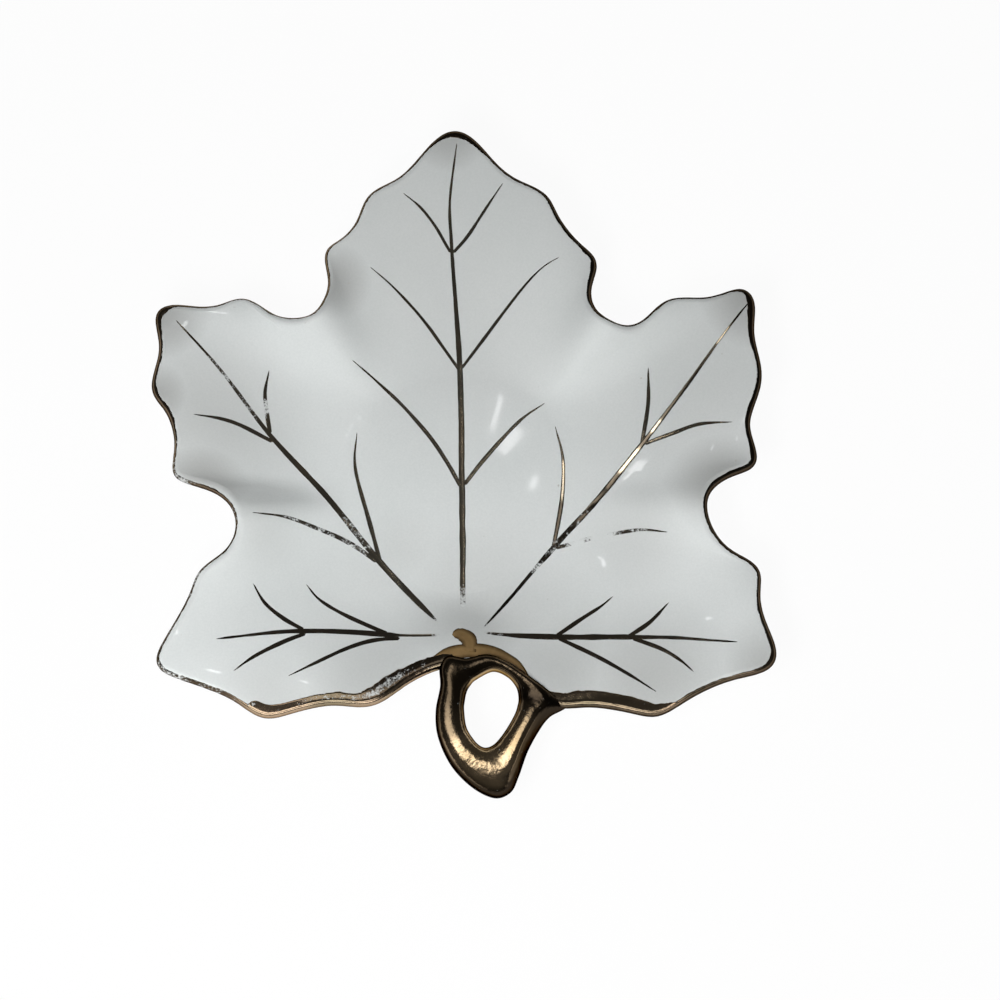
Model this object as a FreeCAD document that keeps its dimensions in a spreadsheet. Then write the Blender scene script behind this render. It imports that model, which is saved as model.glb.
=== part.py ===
import FreeCAD, Part
import math
import os
import Sketcher

from FreeCAD import Vector

# Maple-leaf ring dish: a slip-cast porcelain leaf on a foot ring, with a looped stem as a handle,
# gilded at the lip, on the handle and along the veins.
# The origin is the middle of the foot ring on the table, X to the right, Y to the back lobe, Z up.

doc = FreeCAD.newDocument("RingDish")
sheet = doc.addObject("Spreadsheet::Sheet", "Sizes")

SIZES = (
    ("leaf_width", 119.8, "leaf from the left tips to the right tips, over the lips"),
    ("leaf_length", 114.8, "leaf from the back tip to the front teeth, over the lips"),
    ("wall", 2.5, "porcelain wall of the leaf"),
    ("foot_radius", 20.5, "foot ring, outside"),
    ("foot_width", 2.6, "foot ring, across the face it stands on"),
    ("foot_height", 3.0, "underside of the floor above the table"),
    ("foot_bevel", 0.5, "bevel on the standing edges of the foot ring"),
    ("floor_margin", 1.5, "flat floor beyond the foot ring"),
    ("back_rise", 10.0, "lip above the floor at the back lobe"),
    ("upper_rise", 9.0, "lip above the floor at the upper lobes"),
    ("shoulder_rise", 8.0, "lip above the floor at the side teeth"),
    ("lower_rise", 8.0, "lip above the floor at the lower lobes"),
    ("neck_rise", 6.0, "lip above the floor in the bays beside the back lobe"),
    ("side_rise", 6.0, "lip above the floor in the side bays"),
    ("hip_rise", 5.5, "lip above the floor beside the handle"),
    ("front_rise", 5.0, "lip above the floor at the handle"),
    ("pinch_rise", 3.5, "pinched ridges in the bays, above the rise there"),
    ("pinch_width", 6.0, "pinched ridges, half of their width"),
    ("arch_height", 4.8, "loop handle, thickness where it lies on the leaf's edge"),
    ("lump_height", 6.2, "loop handle, thickness at its blunt end"),
    ("handle_lift", 1.0, "blunt end of the handle above the front lip"),
    ("film", 0.12, "gilding, thickness"),
    ("film_gap", 0.05, "gilding, clear of the glaze and of other gilding"),
    ("vein_width", 1.25, "main brush strokes at their roots"),
    ("side_vein_width", 1.0, "side brush strokes at their roots"),
    ("stroke_tip_width", 0.4, "brush strokes at their tips"),
    ("band_width", 2.4, "brushed bands along the front edges"),
    ("band_inset", 1.1, "outer edge of the front bands from the middle of the lip"),
    ("wash_width", 1.9, "thin wash of gold behind the handle"),
    ("wash_gap", 0.3, "wash clear of the handle"),
    ("dab_width", 2.3, "dab of gold at the hub of the veins"),
    ("rim_upper_angle", 12.0, "rim line, its upper edge in degrees round the lip"),
    ("rim_lower_angle", 128.0, "rim line, its lower edge in degrees round the lip"),
)
for row, (alias, value, note) in enumerate(SIZES, start=1):
    sheet.set(f"A{row}", note)
    sheet.set(f"B{row}", str(value))
    sheet.setAlias(f"B{row}", alias)
doc.recompute()


def size(alias):
    return float(sheet.get(alias))


WALL = size("wall")
LIP = WALL / 2
FILM = size("film")
FILM_GAP = size("film_gap")
FLOOR_RADIUS = size("foot_radius") + size("floor_margin")
FLOOR_MIDDLE = size("foot_height") + LIP
SPAN_X = size("leaf_width") - WALL
SPAN_Y = size("leaf_length") - WALL

# Middle line of the lip, anticlockwise from the handle, in hundredths of the leaf's width and length.
OUTLINE = (
    # front edge under the loop, then the right front bay
    (1.4, -31.9), (4.9, -31.9), (7.8, -32.9), (10.4, -35.2), (13.0, -37.7), (16.2, -39.1), (21.1, -38.9),
    # lower right lobe
    (28.9, -40.3), (31.8, -40.6), (36.1, -38.1), (43.6, -34.7), (48.7, -33.3), (49.9, -31.5),
    (48.2, -25.8), (47.5, -20.3), (47.5, -17.0), (43.9, -14.5), (40.5, -10.9), (39.0, -6.6),
    # upper right lobe
    (40.1, -2.5), (44.4, 0.6), (47.4, 2.4), (46.3, 8.4), (48.4, 16.5), (47.3, 24.4),
    (47.5, 30.2), (46.5, 31.7), (44.8, 31.4), (40.4, 30.2), (34.8, 30.0), (31.1, 26.8),
    # back lobe
    (26.7, 25.3), (22.2, 27.5), (20.6, 33.5), (21.6, 38.2), (19.4, 40.5), (15.2, 46.0),
    (13.5, 49.3), (9.4, 51.5), (4.8, 55.2), (-1.0, 60.4), (-6.7, 55.2), (-10.9, 51.4),
    (-14.6, 49.2), (-16.3, 45.0), (-19.7, 41.2), (-21.5, 40.0), (-20.9, 35.3), (-21.6, 30.5),
    # upper left lobe
    (-23.8, 27.1), (-27.8, 26.5), (-31.9, 27.8), (-35.9, 30.3), (-39.0, 29.2), (-43.3, 28.5),
    (-47.0, 28.8), (-48.8, 28.3), (-49.2, 27.2), (-48.4, 21.7), (-49.5, 14.9), (-47.5, 11.8),
    (-45.5, 4.9), (-45.8, 0.6), (-45.0, -0.4), (-41.0, -1.7), (-37.3, -4.0), (-35.2, -8.3),
    # lower left lobe
    (-35.9, -12.0), (-38.2, -14.9), (-41.3, -17.6), (-42.5, -21.1), (-46.5, -29.5), (-47.6, -32.4),
    (-47.1, -33.4), (-42.8, -35.2), (-37.5, -37.2), (-34.5, -38.9), (-31.3, -40.8), (-28.1, -40.3),
    # left front bay
    (-23.0, -38.9), (-19.0, -38.6), (-15.6, -38.9), (-12.9, -38.1), (-9.2, -35.3), (-5.6, -33.2),
    (-2.2, -32.1),
)

# Directions in degrees in which the lip's height above the floor is set, once round from the handle.
RISES = (
    (-90, "front_rise"), (-62, "hip_rise"), (-31, "lower_rise"), (-8, "side_rise"),
    (1, "shoulder_rise"), (31, "upper_rise"), (47, "neck_rise"), (90, "back_rise"),
    (132, "neck_rise"), (152, "upper_rise"), (179, "shoulder_rise"), (191, "side_rise"),
    (213, "lower_rise"), (239, "hip_rise"), (270, "front_rise"),
)


def on_leaf(point):
    return Vector(SPAN_X * point[0] / 100, SPAN_Y * point[1] / 100, 0)


def smooth_curve(points, closed=False, even=False):
    """Curve through the points, in even steps or in steps that keep sharp teeth from overshooting."""
    ends = points[1:] + points[:1] if closed else points[1:]
    steps = [0.0]
    for start, end in zip(points, ends):
        steps.append(steps[-1] + (1 if even else math.sqrt(start.distanceToPoint(end))))
    curve = Part.BSplineCurve()
    curve.interpolate(Points=points, Parameters=steps, PeriodicFlag=closed)
    return curve


SAMPLES_PER_STATION = 12


def spread(curve, count, closed=False, turn_weight=0.0):
    """Parameters of evenly spaced stations, closer together where the curve turns."""
    first, last = curve.FirstParameter, curve.LastParameter
    samples = SAMPLES_PER_STATION * count
    fine = [first + (last - first) * k / samples for k in range(samples + 1)]
    travelled = [0.0]
    for start, end in zip(fine, fine[1:]):
        turn = curve.tangent(start)[0].getAngle(curve.tangent(end)[0])
        step = curve.value(start).distanceToPoint(curve.value(end))
        travelled.append(travelled[-1] + step + turn_weight * turn)
    gaps = count if closed else count - 1
    stations, k = [], 0
    for number in range(count):
        goal = travelled[-1] * number / gaps
        while k < len(fine) - 2 and travelled[k + 1] < goal:
            k += 1
        share = (goal - travelled[k]) / (travelled[k + 1] - travelled[k])
        stations.append(fine[k] + (fine[k + 1] - fine[k]) * share)
    return stations


def patch(net, closed_u=False, closed_v=False):
    """Cubic surface over a net of control points."""
    def knots(count, closed):
        if closed:
            return list(range(count + 1)), [1] * (count + 1)
        return list(range(count - 2)), [4] + [1] * (count - 4) + [4]

    u_knots, u_repeats = knots(len(net), closed_u)
    v_knots, v_repeats = knots(len(net[0]), closed_v)
    surface = Part.BSplineSurface()
    surface.buildFromPolesMultsKnots(
        net, u_repeats, v_repeats, u_knots, v_knots, closed_u, closed_v, 3, 3)
    return surface


def solid_of(faces):
    shell = Part.Shell(faces)
    solid = Part.Solid(shell)
    if solid.Volume < 0:
        solid.reverse()
    return solid


def add_shape(label, shape):
    item = doc.addObject("Part::Feature", label)
    item.Label = label
    item.Shape = shape
    item.Placement = FreeCAD.Placement()
    return item


# Form of the leaf: its lip line, and the height of the middle of the wall over the plan.
outline = smooth_curve([on_leaf(point) for point in OUTLINE], closed=True)
OUTLINE_STATIONS = 264
TURN_WEIGHT = 2.0
outline_at = spread(outline, OUTLINE_STATIONS, closed=True, turn_weight=TURN_WEIGHT)


def direction_of(point):
    """Degrees round the leaf from the handle at -90 to 270."""
    degrees = math.degrees(math.atan2(point.y, point.x))
    return degrees + 360 if degrees < -90 else degrees


lip_points = [outline.value(station) for station in outline_at]


def reach(degrees):
    nearest = min(lip_points, key=lambda point: abs((direction_of(point) - degrees + 180) % 360 - 180))
    return math.hypot(nearest.x, nearest.y)


LIP_FORM = [(degrees, reach(degrees), size(alias)) for degrees, alias in RISES]


def lip_form(degrees):
    """Smooth reach and rise of the lip in a direction."""
    for (start, reach_a, rise_a), (end, reach_b, rise_b) in zip(LIP_FORM, LIP_FORM[1:]):
        if degrees <= end:
            break
    share = (degrees - start) / (end - start)
    share = share * share * (3 - 2 * share)
    return reach_a + (reach_b - reach_a) * share, rise_a + (rise_b - rise_a) * share


# Directions in degrees of the bays, which are pinched up into ridges.
PINCHES = (-8, 47, 132, 191)
SLOPE_STEP = 0.02


def pinch(degrees, radius):
    """Share of the ridges' height across them."""
    turns = [(degrees - middle + 180) % 360 - 180 for middle in PINCHES]
    return sum(math.exp(-(math.radians(turn) * radius / size("pinch_width")) ** 2) for turn in turns)


def middle_height(x, y):
    """Height of the middle of the wall: a flat floor that swings up and levels off at the lip."""
    radius = math.hypot(x, y)
    if radius <= FLOOR_RADIUS:
        return FLOOR_MIDDLE
    degrees = direction_of(Vector(x, y, 0))
    far, rise = lip_form(degrees)
    out = (radius - FLOOR_RADIUS) / (far - FLOOR_RADIUS)
    return FLOOR_MIDDLE + (rise * (3 - 2 * out) + size("pinch_rise") * pinch(degrees, radius)) * out ** 2


def wall_normal(x, y):
    slope_x = (middle_height(x + SLOPE_STEP, y) - middle_height(x - SLOPE_STEP, y)) / (2 * SLOPE_STEP)
    slope_y = (middle_height(x, y + SLOPE_STEP) - middle_height(x, y - SLOPE_STEP)) / (2 * SLOPE_STEP)
    return Vector(-slope_x, -slope_y, 1).normalize()


# Half round of the lip over control points: shares of the lip's radius upwards and outwards.
LIP_ROUND = ((1, 0), (1, 0.36), (0.75, 0.8), (0, 1.1), (-0.75, 0.8), (-1, 0.36), (-1, 0))
LIP_TURNS = len(LIP_ROUND) - 3
# Rows of control points from the floor to the lip, and the stations each way over which they even out there.
ROWS = (0, 0.05, 0.17, 0.31, 0.45, 0.59, 0.73, 0.87, 0.96, 1)
EVEN_OUT = 10


def lip_frames():
    """Middle of the lip at each station, with the wall's normal and the way outwards."""
    frames = []
    for station in outline_at:
        plan = outline.value(station)
        along = outline.tangent(station)[0]
        normal = wall_normal(plan.x, plan.y)
        middle = Vector(plan.x, plan.y, middle_height(plan.x, plan.y))
        along.z = -(along.x * normal.x + along.y * normal.y) / normal.z
        frames.append((middle, normal, along.cross(normal).normalize()))
    return frames


def lip_net(frames, radius):
    return [[middle + (normal * up + out * across) * radius for up, across in LIP_ROUND]
            for middle, normal, out in frames]


def even_direction(directions, station):
    """Mean direction of the stations around one, so that the rows stay in order round the floor."""
    count = len(directions)
    near = range(station - EVEN_OUT, station + EVEN_OUT + 1)
    return sum(directions[k % count] + 360 * (k // count) for k in near) / len(near)


def wall_net(edge, side):
    """Rows of control points from the flat floor to an edge of the lip, above (1) or below (-1)."""
    net = []
    directions = [direction_of(end) for end in edge]
    for station, end in enumerate(edge):
        far = math.hypot(end.x, end.y)
        floor_direction = even_direction(directions, station)
        row = []
        for share in ROWS[:-1]:
            radius = FLOOR_RADIUS + (far - FLOOR_RADIUS) * share
            angle = math.radians(floor_direction + (directions[station] - floor_direction) * share)
            x, y = radius * math.cos(angle), radius * math.sin(angle)
            if share <= ROWS[1]:
                row.append(Vector(x, y, FLOOR_MIDDLE + side * LIP))
            else:
                row.append(Vector(x, y, middle_height(x, y) + side * LIP / wall_normal(x, y).z))
        net.append(row + [end])
    return net


def flat_face(curve):
    return Part.Face(Part.Wire(curve.toShape()))


frames = lip_frames()
lip_control = lip_net(frames, LIP)
glaze = patch(wall_net([row[0] for row in lip_control], 1), closed_u=True)
underside = patch(wall_net([row[-1] for row in lip_control], -1), closed_u=True)
lip_surface = patch(lip_control, closed_u=True)
leaf_dish = add_shape("leaf_dish", solid_of([
    glaze.toShape(), lip_surface.toShape(), underside.toShape(),
    flat_face(glaze.vIso(0)), flat_face(underside.vIso(0))]))


# Foot ring: turned, with bevelled standing edges, on the flat underside of the floor.
def add_foot_ring():
    body = doc.addObject("PartDesign::Body", "foot_ring")
    body.Label = "foot_ring"
    sketch = body.newObject("Sketcher::SketchObject", "foot_section")
    planes = {plane.Role: plane for plane in body.Origin.OriginFeatures}
    sketch.AttachmentSupport = (planes["XZ_Plane"], "")
    sketch.MapMode = "FlatFace"
    outer, height = size("foot_radius"), size("foot_height")
    inner = outer - size("foot_width")
    corners = [Vector(inner, 0, 0), Vector(outer, 0, 0), Vector(outer, height, 0), Vector(inner, height, 0)]
    for start, end in zip(corners, corners[1:] + corners[:1]):
        sketch.addGeometry(Part.LineSegment(start, end))
    for line in range(4):
        sketch.addConstraint(Sketcher.Constraint("Coincident", line, 2, (line + 1) % 4, 1))
    sketch.addConstraint(Sketcher.Constraint("Horizontal", 0))
    sketch.addConstraint(Sketcher.Constraint("Horizontal", 2))
    sketch.addConstraint(Sketcher.Constraint("Vertical", 1))
    sketch.addConstraint(Sketcher.Constraint("Vertical", 3))
    sketch.addConstraint(Sketcher.Constraint("PointOnObject", 0, 1, -1))
    for alias, kind, ends in (
            ("foot_radius", "DistanceX", (-1, 1, 0, 2)),
            ("foot_width", "DistanceX", (0, 1, 0, 2)),
            ("foot_height", "DistanceY", (1, 1, 1, 2))):
        number = sketch.addConstraint(Sketcher.Constraint(kind, *ends, size(alias)))
        sketch.setExpression(f"Constraints[{number}]", f"Sizes.{alias}")
    turned = body.newObject("PartDesign::Revolution", "foot_turned")
    turned.Profile = sketch
    turned.ReferenceAxis = (sketch, ["V_Axis"])
    turned.Angle = 360
    doc.recompute()
    standing = [f"Edge{number}" for number, edge in enumerate(turned.Shape.Edges, start=1)
                if edge.BoundBox.ZMax < height / 2 and edge.Closed]
    bevel = body.newObject("PartDesign::Chamfer", "foot_bevels")
    bevel.Base = (turned, standing)
    bevel.setExpression("Size", "Sizes.foot_bevel")
    return body


foot_ring = add_foot_ring()


# Loop handle: a plump ring on the front edge, given by matching points on its egg-shaped hole and on its
# outside, clockwise from its arch on the leaf, then fitted to the leaf's edge.
HANDLE = (
    ((5.4, -33.8), (4.6, -31.0)), ((2.7, -35.2), (1.1, -31.6)), ((1.2, -37.4), (-3.0, -33.3)),
    ((0.8, -40.5), (-3.8, -40.8)), ((1.2, -43.5), (-3.4, -45.2)), ((2.4, -45.7), (-1.3, -50.0)),
    ((3.5, -46.8), (2.1, -53.7)), ((4.5, -47.0), (5.7, -55.5)), ((5.6, -46.4), (8.3, -54.5)),
    ((6.7, -45.1), (9.6, -51.7)), ((7.9, -43.2), (11.0, -47.6)), ((8.9, -41.2), (12.6, -43.9)),
    ((9.5, -38.8), (14.4, -39.8)), ((9.1, -36.5), (12.3, -35.9)), ((7.7, -34.7), (8.6, -32.8)),
)
HANDLE_STATIONS = 3 * len(HANDLE)
SECTION_POINTS = 12
# A closed cubic curve runs inside its control points: this sets them out to meet the ring's outline.
ROUND_GAIN = 1 / (2 / 3 + math.cos(2 * math.pi / SECTION_POINTS) / 3)
handle_hole = smooth_curve([on_leaf(pair[0]) for pair in HANDLE], closed=True, even=True)
handle_outside = smooth_curve([on_leaf(pair[1]) for pair in HANDLE], closed=True, even=True)


def handle_blank():
    net = []
    for number in range(HANDLE_STATIONS):
        share = number / HANDLE_STATIONS
        hole = handle_hole.value(share * len(HANDLE))
        outside = handle_outside.value(share * len(HANDLE))
        swell = math.sin(math.pi * share) ** 2
        height = size("arch_height") + (size("lump_height") - size("arch_height")) * swell
        middle = (hole + outside) / 2
        middle.z = FLOOR_MIDDLE + size("front_rise") + size("handle_lift") * swell
        half_width = (outside - hole) / 2
        ring = []
        for point in range(SECTION_POINTS):
            angle = 2 * math.pi * point / SECTION_POINTS
            spoke = half_width * math.cos(angle) + Vector(0, 0, height / 2 * math.sin(angle))
            ring.append(middle + spoke * ROUND_GAIN)
        net.append(ring)
    skin = patch(net, closed_u=True, closed_v=True)
    first, last = skin.bounds()[:2]
    halves = []
    for start, end in ((first, (first + last) / 2), ((first + last) / 2, last)):
        half = skin.copy()
        half.segment(start, end, *skin.bounds()[2:])
        halves.append(half.toShape())
    return solid_of(halves)


blank = add_shape("handle_blank", handle_blank())
loop_handle = doc.addObject("Part::Cut", "loop_handle")
loop_handle.Label = "loop_handle"
loop_handle.Base = blank
loop_handle.Tool = leaf_dish


# Gilding: thin films of fired gold, each brush stroke a film of its own that follows the glaze.
FLOOR_TOP = FLOOR_MIDDLE + LIP
STROKE_STEP = 1.5
STROKE_LEAST = 6
STROKE_SWELL = 0.2
BAND_STATIONS = 18
BAND_TAPER = 0.5
SEARCH_STEPS = 6
GLAZE_START = glaze.parameter(lip_control[0][0])[0]


def on_glaze(plan):
    """Point of the glaze and its normal at a place in plan."""
    radius = math.hypot(plan.x, plan.y)
    if radius <= FLOOR_RADIUS:
        return Vector(plan.x, plan.y, FLOOR_TOP), Vector(0, 0, 1)
    degrees = direction_of(plan)
    near = min(range(OUTLINE_STATIONS), key=lambda k: abs(direction_of(lip_control[k][0]) - degrees))
    edge = lip_control[near][0]
    u = GLAZE_START + near
    v = (len(ROWS) - 3) * (radius - FLOOR_RADIUS) / (math.hypot(edge.x, edge.y) - FLOOR_RADIUS)
    for _ in range(SEARCH_STEPS):
        miss = plan - glaze.value(u, v)
        by_u, by_v = glaze.getDN(u, v, 1, 0), glaze.getDN(u, v, 0, 1)
        area = by_u.x * by_v.y - by_u.y * by_v.x
        u += (miss.x * by_v.y - miss.y * by_v.x) / area
        v += (by_u.x * miss.y - by_u.y * miss.x) / area
    normal = glaze.getDN(u, v, 1, 0).cross(glaze.getDN(u, v, 0, 1)).normalize()
    return glaze.value(u, v), normal if normal.z > 0 else -normal


def strip(rungs, knots, repeats, degree):
    """Narrow surface over rungs of a few control points each."""
    net = [list(rung) for rung in rungs]
    across = len(net[0])
    surface = Part.BSplineSurface()
    surface.buildFromPolesMultsKnots(
        net, repeats, [across, across], knots, [0, 1], False, False, degree, across - 1)
    return surface


def film_between(low, high):
    """Solid between two matching surfaces."""
    low_rows, high_rows = low.getPoles(), high.getPoles()
    faces = [low.toShape(), high.toShape()]
    for end in (0, -1):
        faces.append(strip(zip(low_rows[end], high_rows[end]),
                           low.getVKnots(), low.getVMultiplicities(), low.VDegree).toShape())
        faces.append(strip([(a[end], b[end]) for a, b in zip(low_rows, high_rows)],
                           low.getUKnots(), low.getUMultiplicities(), low.UDegree).toShape())
    return solid_of(faces)


def sideways(along):
    return Vector(-along.y, along.x, 0).normalize()


def add_film(label, sections):
    """Film over the glaze through sections, each its middle in plan and half of its width across."""
    skins = []
    for lift in (FILM_GAP, FILM_GAP + FILM):
        lines = []
        for side in (-1, 0, 1):
            feet = [on_glaze(middle + half_across * side) for middle, half_across in sections]
            curve = Part.BSplineCurve()
            curve.interpolate(Points=[foot + normal * lift for foot, normal in feet],
                              Parameters=list(range(len(sections))))
            lines.append(curve)
        left, middle, right = (curve.getPoles() for curve in lines)
        rungs = [(a, b * 2 - (a + c) / 2, c) for a, b, c in zip(left, middle, right)]
        skins.append(strip(rungs, curve.getKnots(), curve.getMultiplicities(), curve.Degree))
    return add_shape(label, film_between(*skins))


def add_stroke(label, points, width, tip_width, root=None):
    """Brush stroke that tapers to its tip; a side stroke also starts thin, clear of the main stroke."""
    path = smooth_curve(points)
    first = path.FirstParameter
    root_width = width
    if root:
        main_along, main_half = root
        along = path.tangent(first)[0]
        lean, lie = abs(along.cross(main_along).z), abs(along.dot(main_along))
        root_width = tip_width
        first = path.parameterAtDistance((main_half + FILM_GAP + root_width / 2 * lie) / lean, first)
    path.segment(first, path.LastParameter)
    count = STROKE_LEAST + round(path.length() / STROKE_STEP)
    sections = []
    for number, station in enumerate(spread(path, count)):
        share = number / (count - 1)
        body = width + (tip_width - width) * share
        filled = min(1, share / STROKE_SWELL)
        half = (root_width + (body - root_width) * filled) / 2
        sections.append((path.value(station), sideways(path.tangent(station)[0]) * half))
    return add_film(label, sections)


# Veins in hundredths of the leaf's width and length. A main stroke runs from the hub to its tip, and at each
# of its inner points two side strokes leave it, each given by a point on its way and its tip.
VEINS = {
    "back_vein": (
        ((0.4, -25.6), (0.4, -0.4), (-0.1, 20.6), (-1.4, 41.0), (-0.9, 57.7)),
        (((-7.0, 11.2), (-17.5, 20.7)), ((5.7, 8.1), (13.7, 14.3)),
         ((-6.1, 28.9), (-15.1, 37.1)), ((6.5, 30.5), (16.1, 38.5)),
         ((-4.7, 46.1), (-9.5, 49.8)), ((2.6, 47.0), (6.7, 51.1)))),
    "upper_left_vein": (
        ((-3.9, -24.3), (-13.4, -12.8), (-31.3, 7.4), (-45.3, 24.9)),
        (((-22.1, -8.0), (-32.5, -7.2)), ((-16.8, -3.1), (-17.4, 8.5)),
         ((-36.9, 9.6), (-43.4, 10.4)), ((-32.3, 12.9), (-31.9, 19.1)))),
    "upper_right_vein": (
        ((5.0, -24.5), (15.0, -11.6), (29.7, 5.6), (45.2, 27.4)),
        (((16.9, -0.4), (15.8, 9.4)), ((23.7, -9.6), (32.9, -9.5)),
         ((31.2, 12.5), (31.0, 19.2)), ((36.8, 8.5), (44.1, 8.7)))),
    "lower_left_vein": (
        ((-3.7, -27.2), (-10.5, -27.0), (-25.8, -26.7), (-38.8, -28.6)),
        (((-18.5, -30.3), (-27.1, -34.9)), ((-18.6, -24.1), (-24.9, -18.5)),
         ((-31.3, -29.6), (-36.2, -34.2)), ((-30.2, -23.6), (-33.4, -19.0)))),
    "lower_right_vein": (
        ((4.0, -27.1), (16.2, -27.7), (27.5, -28.0), (44.7, -29.5)),
        (((21.5, -25.1), (24.9, -20.5)), ((24.3, -31.2), (31.6, -37.5)),
         ((31.1, -25.8), (33.7, -22.3)), ((33.1, -30.5), (37.4, -34.2)))),
}


def add_veins():
    films = []
    for label, (main, sides) in VEINS.items():
        points = [on_leaf(point) for point in main]
        width, tip_width = size("vein_width"), size("stroke_tip_width")
        films.append(add_stroke(label, points, width, tip_width))
        path = smooth_curve(points)
        for number, side in enumerate(sides):
            branch = points[1 + number // 2]
            station = path.parameter(branch)
            share = path.length(path.FirstParameter, station) / path.length()
            main_half = (width + (tip_width - width) * share) / 2
            films.append(add_stroke(
                f"{label}_side_{number + 1}", [branch] + [on_leaf(point) for point in side],
                size("side_vein_width"), tip_width, root=(path.tangent(station)[0], main_half)))
    return films


# Directions in degrees where the rim line and the front bands start and end beside the handle.
RIM_FROM, RIM_TO = -67.5, 261
BANDS = {"front_band_right": (RIM_FROM, -47), "front_band_left": (RIM_TO, 232)}


def outline_near(degrees):
    return min(outline_at, key=lambda station: abs(direction_of(outline.value(station)) - degrees))


def add_band(label, start, end):
    """Broad brushed band on the glaze beside the lip."""
    first, last = outline_near(start), outline_near(end)
    sections = []
    for number in range(BAND_STATIONS):
        share = number / (BAND_STATIONS - 1)
        station = first + (last - first) * share
        inwards = sideways(outline.tangent(station)[0])
        half = size("band_width") / 2 * (1 - BAND_TAPER * share ** 3)
        sections.append((outline.value(station) + inwards * (size("band_inset") + half), inwards * half))
    return add_film(label, sections)


def add_rim_line():
    """Gold line round the lip, open at the handle."""
    skins = []
    for radius in (LIP + FILM_GAP, LIP + FILM_GAP + FILM):
        skin = patch(lip_net(frames, radius), closed_u=True)
        ends = []
        for degrees in (RIM_FROM, RIM_TO):
            station = min(frames, key=lambda frame: abs(direction_of(frame[0]) - degrees))
            ends.append(skin.parameter(station[0] + station[2] * radius)[0])
        turns = [LIP_TURNS * size(alias) / 180 for alias in ("rim_upper_angle", "rim_lower_angle")]
        skin.segment(*ends, *turns)
        skins.append(skin)
    return add_shape("rim_line", film_between(*skins))


# Steps along the handle's points, back from its left shoulder over the arch to its right shoulder.
WASH_FROM, WASH_TO = 1.9, -1.8


def add_stem_wash():
    """Thin wash of gold on the glaze behind the arch of the handle."""
    half = size("wash_width") / 2
    sections = []
    for number in range(BAND_STATIONS):
        share = number / (BAND_STATIONS - 1)
        station = (WASH_FROM + (WASH_TO - WASH_FROM) * share) % len(HANDLE)
        edge = handle_outside.value(station)
        outwards = (edge - handle_hole.value(station)).normalize()
        sections.append((edge + outwards * (size("wash_gap") + half), outwards * half))
    return add_film("stem_wash", sections)


HUB_DAB = ((0.6, -26.9), (0.9, -28.1), (1.0, -29.2))

films = add_veins()
films.append(add_rim_line())
films.append(add_stem_wash())
dab_points = [on_leaf(point) for point in HUB_DAB]
films.append(add_stroke("hub_dab", dab_points, size("dab_width"), size("dab_width")))
for label, ends in BANDS.items():
    films.append(add_band(label, *ends))

doc.recompute()
for item in doc.Objects:
    if "Invalid" in item.State or "Error" in item.State:
        raise RuntimeError(f"{item.Label} did not build: {item.State}")
pieces = [leaf_dish, foot_ring, loop_handle] + films
for piece in pieces:
    if piece.Shape.isNull() or not piece.Shape.isValid() or len(piece.Shape.Solids) != 1:
        raise RuntimeError(f"{piece.Label} is not one sound solid")

os.makedirs("parts", exist_ok=True)
for piece in pieces:
    piece.Shape.exportStep(f"parts/{piece.Label}.step")
    print(f"{piece.Label}: {piece.Shape.Volume:.2f} mm3")
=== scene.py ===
import math

import bmesh
import bpy
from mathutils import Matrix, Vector, noise
from mathutils.bvhtree import BVHTree


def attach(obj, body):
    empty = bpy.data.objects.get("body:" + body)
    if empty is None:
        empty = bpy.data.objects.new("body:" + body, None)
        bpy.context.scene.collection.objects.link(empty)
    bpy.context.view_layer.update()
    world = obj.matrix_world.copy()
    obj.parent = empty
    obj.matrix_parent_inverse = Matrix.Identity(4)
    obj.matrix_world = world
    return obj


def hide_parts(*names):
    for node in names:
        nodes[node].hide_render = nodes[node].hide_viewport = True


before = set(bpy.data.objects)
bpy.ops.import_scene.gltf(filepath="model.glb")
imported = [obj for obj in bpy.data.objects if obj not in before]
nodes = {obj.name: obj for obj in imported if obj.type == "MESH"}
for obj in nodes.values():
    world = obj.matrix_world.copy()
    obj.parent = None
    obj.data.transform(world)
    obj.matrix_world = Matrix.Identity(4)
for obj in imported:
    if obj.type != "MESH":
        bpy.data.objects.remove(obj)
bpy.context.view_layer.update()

MM = 0.001

# Camera of the photograph: high in front of the dish.
IMAGE = 1000
PIXEL = 0.1917 * MM
CAMERA_TILT = math.radians(15)
CAMERA_FAR = 620 * MM
AIM = Vector((7.668, -4.366, 9.0)) * MM
SENSOR = 36
NEAREST = 10 * MM


def add_camera():
    data = bpy.data.cameras.new("camera")
    data.sensor_width = SENSOR
    data.lens = SENSOR * CAMERA_FAR / (IMAGE * PIXEL)
    data.clip_start = NEAREST
    camera = bpy.data.objects.new("camera", data)
    bpy.context.collection.objects.link(camera)
    camera.rotation_euler = (CAMERA_TILT, 0, 0)
    camera.location = AIM + Vector((0, -math.sin(CAMERA_TILT), math.cos(CAMERA_TILT))) * CAMERA_FAR
    bpy.context.scene.camera = camera
    return camera


camera = add_camera()


# Leaf: its upper face and its lip carry the gilding. The spans run between the middles of the lips.
SPAN_X = 117.3 * MM
SPAN_Y = 112.3 * MM
LIP = 1.25 * MM
LIP_HEIGHT = 12 * MM
ABOVE = 100 * MM
DOWN = Vector((0, 0, -1))


def surface_of(node):
    """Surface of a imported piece, to be hit by rays."""
    corners = [node.matrix_world @ vertex.co for vertex in node.data.vertices]
    return BVHTree.FromPolygons(corners, [tuple(face.vertices) for face in node.data.polygons])


leaf = surface_of(nodes["leaf_dish"])


def on_leaf(point):
    """Place in plan from hundredths of the leaf's width and length."""
    return Vector((SPAN_X * point[0] / 100, SPAN_Y * point[1] / 100, 0))


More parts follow.
